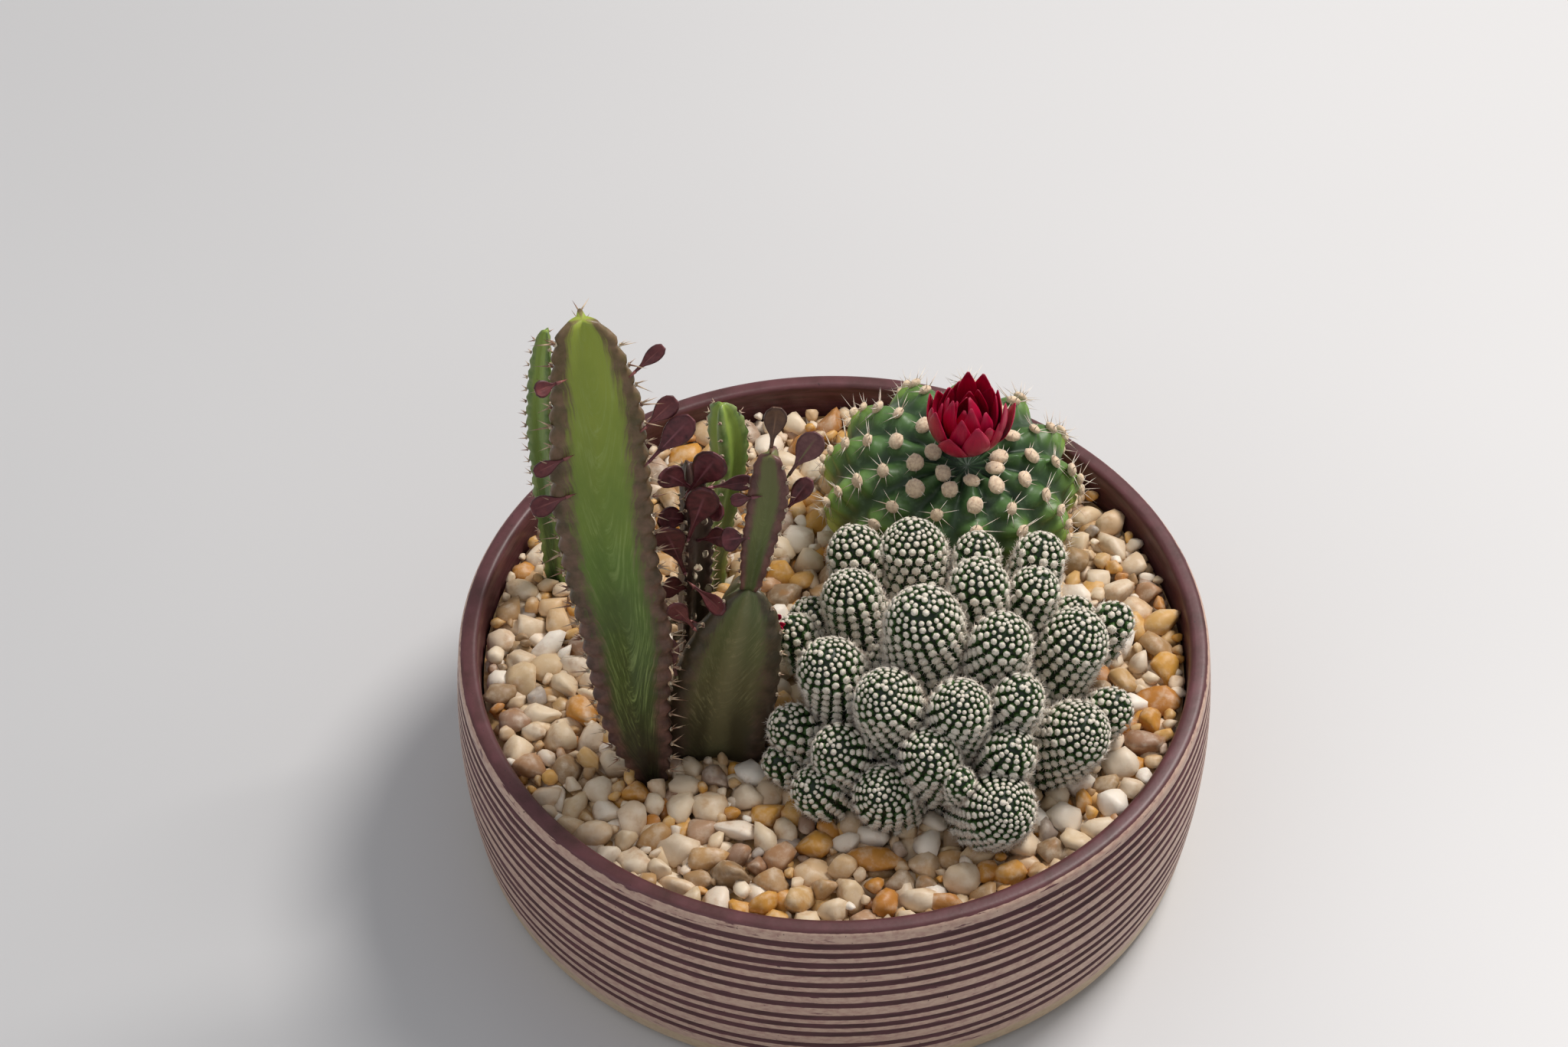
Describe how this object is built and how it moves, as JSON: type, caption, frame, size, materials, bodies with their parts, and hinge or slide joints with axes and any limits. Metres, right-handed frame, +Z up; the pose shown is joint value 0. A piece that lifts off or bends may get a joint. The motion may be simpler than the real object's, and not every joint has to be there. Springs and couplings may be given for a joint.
{
  "type": "potted round cactus",
  "caption": "Low round turned bowl filled with gravel, planted with a clustering round cactus, a flowering ball cactus and a leafy three-angled euphorbia.",
  "frame": {"origin": "centre of the bowl's foot, on the surface it stands on", "axes": "+Z up the bowl's axis; -Y is the front, where the clustering cactus is; the tall stem is on -X"},
  "size_m": [0.2024, 0.2024, 0.1995],
  "materials": {
    "bowl_glaze": "turned stoneware, thin plum glaze worn pale on the ridges, satin",
    "potting_soil": "dark damp potting mix",
    "gravel": "mixed cream, amber and quartz pea gravel, dull",
    "cluster_core": "dark green succulent flesh, matt",
    "cluster_heads": "green tubercles under cream woolly spine cushions, matt",
    "ball_cactus": "deep green ribbed skin, satin",
    "flower_cup": "dark crimson scales, dry",
    "flower_petals": "thin crimson papery petals",
    "trunk": "olive succulent skin with brown ribs, satin",
    "green_stem": "yellow-green succulent skin with brown ribs, satin",
    "dark_stem": "brown-green succulent skin, satin",
    "burgundy_leaf": "thin burgundy leaf, satin"
  },
  "bodies": {
    "root": {"pot": "bowl_glaze", "potting_soil": "potting_soil", "gravel_bed": "gravel", "cluster_core": "cluster_core", "cluster_head_01": "cluster_heads", "cluster_head_02": "cluster_heads", "cluster_head_03": "cluster_heads", "cluster_head_04": "cluster_heads", "cluster_head_05": "cluster_heads", "cluster_head_06": "cluster_heads", "cluster_head_07": "cluster_heads", "cluster_head_08": "cluster_heads", "cluster_head_09": "cluster_heads", "cluster_head_10": "cluster_heads", "cluster_head_11": "cluster_heads", "cluster_head_12": "cluster_heads", "cluster_head_13": "cluster_heads", "cluster_head_14": "cluster_heads", "cluster_head_15": "cluster_heads", "cluster_head_16": "cluster_heads", "cluster_head_17": "cluster_heads", "cluster_head_18": "cluster_heads", "cluster_head_19": "cluster_heads", "cluster_head_20": "cluster_heads", "cluster_head_21": "cluster_heads", "cluster_head_22": "cluster_heads", "cluster_head_23": "cluster_heads", "cluster_head_24": "cluster_heads", "cluster_head_25": "cluster_heads", "cluster_head_26": "cluster_heads", "cluster_head_27": "cluster_heads", "cluster_head_28": "cluster_heads", "cluster_head_29": "cluster_heads", "ball_cactus_body": "ball_cactus", "flower_cup": "flower_cup", "flower_petal_1": "flower_petals", "flower_petal_2": "flower_petals", "flower_petal_3": "flower_petals", "flower_petal_4": "flower_petals", "flower_petal_5": "flower_petals", "flower_petal_6": "flower_petals", "euphorbia_trunk": "trunk", "euphorbia_tall_stem": "green_stem", "euphorbia_dark_stem": "dark_stem", "euphorbia_back_stem": "green_stem", "euphorbia_green_shoot": "green_stem", "euphorbia_branch": "dark_stem", "tall_stem_leaf_1": "burgundy_leaf", "tall_stem_leaf_2": "burgundy_leaf", "tall_stem_leaf_3": "burgundy_leaf", "tall_stem_leaf_4": "burgundy_leaf", "tall_stem_leaf_5": "burgundy_leaf", "dark_stem_leaf_1": "burgundy_leaf", "dark_stem_leaf_2": "burgundy_leaf", "dark_stem_leaf_3": "burgundy_leaf", "dark_stem_leaf_4": "burgundy_leaf", "dark_stem_leaf_5": "burgundy_leaf", "branch_leaf_1": "burgundy_leaf", "branch_leaf_2": "burgundy_leaf", "branch_leaf_3": "burgundy_leaf"}
  },
  "joints": []
}
